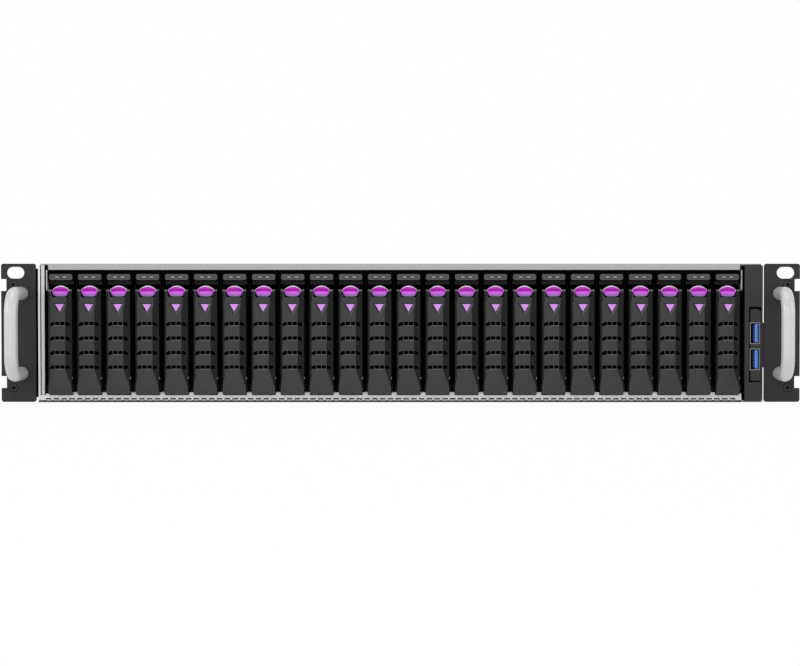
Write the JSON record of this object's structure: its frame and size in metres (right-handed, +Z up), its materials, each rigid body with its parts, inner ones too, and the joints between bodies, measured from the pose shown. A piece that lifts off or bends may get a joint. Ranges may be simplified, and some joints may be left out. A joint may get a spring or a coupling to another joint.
{
  "type": "rackmount barebone server",
  "caption": "Low wide rackmount server with a row of upright hot-swap drive carriers with vented levers and purple latches, handled rack ears and rear slide-in power supplies.",
  "frame": {"origin": "under the middle of the whole object, on the surface that it stands on", "axes": "+Z up, +Y to the rear, the front with the drive bays faces -Y, +X to the right seen from the front"},
  "size_m": [0.4826, 0.718, 0.0838],
  "materials": {
    "zinc_sheet": "zinc-plated sheet",
    "black_paint": "matt powder coat",
    "black_plastic": "fine spark-eroded",
    "purple_plastic": "satin moulding",
    "satin_aluminium": "satin anodised",
    "port_metal": "tin plate",
    "circuit_board": "solder mask",
    "psu_metal": "plated sheet",
    "dark_steel": "black oxide"
  },
  "bodies": {
    "chassis": {"chassis_tray": "zinc_sheet", "rear_panel": "zinc_sheet", "front_top_plate": "zinc_sheet", "drive_cage": "zinc_sheet", "drive_backplane": "circuit_board", "rack_ear_left": "black_paint", "rack_ear_right": "black_paint", "ear_handle_left": "satin_aluminium", "ear_handle_right": "satin_aluminium", "front_io_panel": "black_plastic", "usb_ports": "port_metal", "fan_wall": "zinc_sheet", "fan_housings": "black_plastic", "mainboard": "circuit_board", "cpu_heatsinks": "satin_aluminium", "air_shroud": "black_plastic", "psu_cage": "zinc_sheet", "slot_covers": "zinc_sheet", "case_screws": "dark_steel"},
    "fan_rotor_1": {"fan_rotor_1": "black_plastic"},
    "fan_rotor_2": {"fan_rotor_2": "black_plastic"},
    "fan_rotor_3": {"fan_rotor_3": "black_plastic"},
    "fan_rotor_4": {"fan_rotor_4": "black_plastic"},
    "power_supply_1": {"power_supply_1": "psu_metal"},
    "power_supply_2": {"power_supply_2": "psu_metal"},
    "psu_latch_1": {"psu_latch_1": "purple_plastic"},
    "psu_latch_2": {"psu_latch_2": "purple_plastic"},
    "top_cover": {"top_cover": "zinc_sheet"},
    "carrier_lever_01": {"carrier_lever_01": "black_plastic"},
    "carrier_lever_02": {"carrier_lever_02": "black_plastic"},
    "carrier_lever_03": {"carrier_lever_03": "black_plastic"},
    "carrier_lever_04": {"carrier_lever_04": "black_plastic"},
    "release_button_01": {"release_button_01": "purple_plastic"},
    "release_button_02": {"release_button_02": "purple_plastic"},
    "release_button_03": {"release_button_03": "purple_plastic"},
    "release_button_04": {"release_button_04": "purple_plastic"},
    "drive_carrier_01": {"drive_carrier_01": "black_plastic"},
    "drive_carrier_02": {"drive_carrier_02": "black_plastic"},
    "drive_carrier_03": {"drive_carrier_03": "black_plastic"},
    "drive_carrier_04": {"drive_carrier_04": "black_plastic"},
    "drive_carrier_05": {"drive_carrier_05": "black_plastic"},
    "drive_carrier_06": {"drive_carrier_06": "black_plastic"},
    "drive_carrier_07": {"drive_carrier_07": "black_plastic"},
    "drive_carrier_08": {"drive_carrier_08": "black_plastic"},
    "drive_carrier_09": {"drive_carrier_09": "black_plastic"},
    "drive_carrier_10": {"drive_carrier_10": "black_plastic"},
    "drive_carrier_11": {"drive_carrier_11": "black_plastic"},
    "drive_carrier_12": {"drive_carrier_12": "black_plastic"},
    "drive_carrier_13": {"drive_carrier_13": "black_plastic"},
    "drive_carrier_14": {"drive_carrier_14": "black_plastic"},
    "drive_carrier_15": {"drive_carrier_15": "black_plastic"},
    "drive_carrier_16": {"drive_carrier_16": "black_plastic"},
    "drive_carrier_17": {"drive_carrier_17": "black_plastic"},
    "drive_carrier_18": {"drive_carrier_18": "black_plastic"},
    "drive_carrier_19": {"drive_carrier_19": "black_plastic"},
    "drive_carrier_20": {"drive_carrier_20": "black_plastic"},
    "drive_carrier_21": {"drive_carrier_21": "black_plastic"},
    "drive_carrier_22": {"drive_carrier_22": "black_plastic"},
    "drive_carrier_23": {"drive_carrier_23": "black_plastic"},
    "drive_carrier_24": {"drive_carrier_24": "black_plastic"}
  },
  "joints": [
    {"name": "cover_lift", "type": "slide", "parent": "chassis", "child": "top_cover", "axis": [0, 0, 1], "range_m": [0, 0.12]},
    {"name": "supply_1_slide", "type": "slide", "parent": "chassis", "child": "power_supply_1", "axis": [0, 1, 0], "range_m": [0, 0.19]},
    {"name": "supply_1_latch", "type": "slide", "parent": "power_supply_1", "child": "psu_latch_1", "axis": [-1, 0, 0], "range_m": [0, 0.0025], "stiffness_N_per_m": 1200},
    {"name": "supply_2_slide", "type": "slide", "parent": "chassis", "child": "power_supply_2", "axis": [0, 1, 0], "range_m": [0, 0.19]},
    {"name": "supply_2_latch", "type": "slide", "parent": "power_supply_2", "child": "psu_latch_2", "axis": [-1, 0, 0], "range_m": [0, 0.0025], "stiffness_N_per_m": 1200},
    {"name": "fan_1_spin", "type": "hinge", "parent": "chassis", "child": "fan_rotor_1", "pos_m": [-0.156, -0.1232, 0.042], "axis": [0, 1, 0], "continuous": true},
    {"name": "fan_2_spin", "type": "hinge", "parent": "chassis", "child": "fan_rotor_2", "pos_m": [-0.052, -0.1232, 0.042], "axis": [0, 1, 0], "continuous": true},
    {"name": "fan_3_spin", "type": "hinge", "parent": "chassis", "child": "fan_rotor_3", "pos_m": [0.052, -0.1232, 0.042], "axis": [0, 1, 0], "continuous": true},
    {"name": "fan_4_spin", "type": "hinge", "parent": "chassis", "child": "fan_rotor_4", "pos_m": [0.156, -0.1232, 0.042], "axis": [0, 1, 0], "continuous": true},
    {"name": "lever_01_hinge", "type": "hinge", "parent": "drive_carrier_01", "child": "carrier_lever_01", "pos_m": [-0.20515, -0.32635, 0.009], "axis": [1, 0, 0], "range_deg": [0, 55]},
    {"name": "button_01_press", "type": "slide", "parent": "drive_carrier_01", "child": "release_button_01", "axis": [0, 1, 0], "range_m": [0, 0.002], "stiffness_N_per_m": 900},
    {"name": "lever_02_hinge", "type": "hinge", "parent": "drive_carrier_02", "child": "carrier_lever_02", "pos_m": [-0.18765, -0.32635, 0.009], "axis": [1, 0, 0], "range_deg": [0, 55]},
    {"name": "button_02_press", "type": "slide", "parent": "drive_carrier_02", "child": "release_button_02", "axis": [0, 1, 0], "range_m": [0, 0.002], "stiffness_N_per_m": 900},
    {"name": "lever_03_hinge", "type": "hinge", "parent": "drive_carrier_03", "child": "carrier_lever_03", "pos_m": [-0.17015, -0.32635, 0.009], "axis": [1, 0, 0], "range_deg": [0, 55]},
    {"name": "button_03_press", "type": "slide", "parent": "drive_carrier_03", "child": "release_button_03", "axis": [0, 1, 0], "range_m": [0, 0.002], "stiffness_N_per_m": 900},
    {"name": "lever_04_hinge", "type": "hinge", "parent": "drive_carrier_04", "child": "carrier_lever_04", "pos_m": [-0.15265, -0.32635, 0.009], "axis": [1, 0, 0], "range_deg": [0, 55]},
    {"name": "button_04_press", "type": "slide", "parent": "drive_carrier_04", "child": "release_button_04", "axis": [0, 1, 0], "range_m": [0, 0.002], "stiffness_N_per_m": 900},
    {"name": "carrier_01_slide", "type": "slide", "parent": "chassis", "child": "drive_carrier_01", "axis": [0, -1, 0], "range_m": [0, 0.14]},
    {"name": "carrier_02_slide", "type": "slide", "parent": "chassis", "child": "drive_carrier_02", "axis": [0, -1, 0], "range_m": [0, 0.14]},
    {"name": "carrier_03_slide", "type": "slide", "parent": "chassis", "child": "drive_carrier_03", "axis": [0, -1, 0], "range_m": [0, 0.14]},
    {"name": "carrier_04_slide", "type": "slide", "parent": "chassis", "child": "drive_carrier_04", "axis": [0, -1, 0], "range_m": [0, 0.14]},
    {"name": "carrier_05_slide", "type": "slide", "parent": "chassis", "child": "drive_carrier_05", "axis": [0, -1, 0], "range_m": [0, 0.14]},
    {"name": "carrier_06_slide", "type": "slide", "parent": "chassis", "child": "drive_carrier_06", "axis": [0, -1, 0], "range_m": [0, 0.14]},
    {"name": "carrier_07_slide", "type": "slide", "parent": "chassis", "child": "drive_carrier_07", "axis": [0, -1, 0], "range_m": [0, 0.14]},
    {"name": "carrier_08_slide", "type": "slide", "parent": "chassis", "child": "drive_carrier_08", "axis": [0, -1, 0], "range_m": [0, 0.14]},
    {"name": "carrier_09_slide", "type": "slide", "parent": "chassis", "child": "drive_carrier_09", "axis": [0, -1, 0], "range_m": [0, 0.14]},
    {"name": "carrier_10_slide", "type": "slide", "parent": "chassis", "child": "drive_carrier_10", "axis": [0, -1, 0], "range_m": [0, 0.14]},
    {"name": "carrier_11_slide", "type": "slide", "parent": "chassis", "child": "drive_carrier_11", "axis": [0, -1, 0], "range_m": [0, 0.14]},
    {"name": "carrier_12_slide", "type": "slide", "parent": "chassis", "child": "drive_carrier_12", "axis": [0, -1, 0], "range_m": [0, 0.14]},
    {"name": "carrier_13_slide", "type": "slide", "parent": "chassis", "child": "drive_carrier_13", "axis": [0, -1, 0], "range_m": [0, 0.14]},
    {"name": "carrier_14_slide", "type": "slide", "parent": "chassis", "child": "drive_carrier_14", "axis": [0, -1, 0], "range_m": [0, 0.14]},
    {"name": "carrier_15_slide", "type": "slide", "parent": "chassis", "child": "drive_carrier_15", "axis": [0, -1, 0], "range_m": [0, 0.14]},
    {"name": "carrier_16_slide", "type": "slide", "parent": "chassis", "child": "drive_carrier_16", "axis": [0, -1, 0], "range_m": [0, 0.14]},
    {"name": "carrier_17_slide", "type": "slide", "parent": "chassis", "child": "drive_carrier_17", "axis": [0, -1, 0], "range_m": [0, 0.14]},
    {"name": "carrier_18_slide", "type": "slide", "parent": "chassis", "child": "drive_carrier_18", "axis": [0, -1, 0], "range_m": [0, 0.14]},
    {"name": "carrier_19_slide", "type": "slide", "parent": "chassis", "child": "drive_carrier_19", "axis": [0, -1, 0], "range_m": [0, 0.14]},
    {"name": "carrier_20_slide", "type": "slide", "parent": "chassis", "child": "drive_carrier_20", "axis": [0, -1, 0], "range_m": [0, 0.14]},
    {"name": "carrier_21_slide", "type": "slide", "parent": "chassis", "child": "drive_carrier_21", "axis": [0, -1, 0], "range_m": [0, 0.14]},
    {"name": "carrier_22_slide", "type": "slide", "parent": "chassis", "child": "drive_carrier_22", "axis": [0, -1, 0], "range_m": [0, 0.14]},
    {"name": "carrier_23_slide", "type": "slide", "parent": "chassis", "child": "drive_carrier_23", "axis": [0, -1, 0], "range_m": [0, 0.14]},
    {"name": "carrier_24_slide", "type": "slide", "parent": "chassis", "child": "drive_carrier_24", "axis": [0, -1, 0], "range_m": [0, 0.14]}
  ]
}
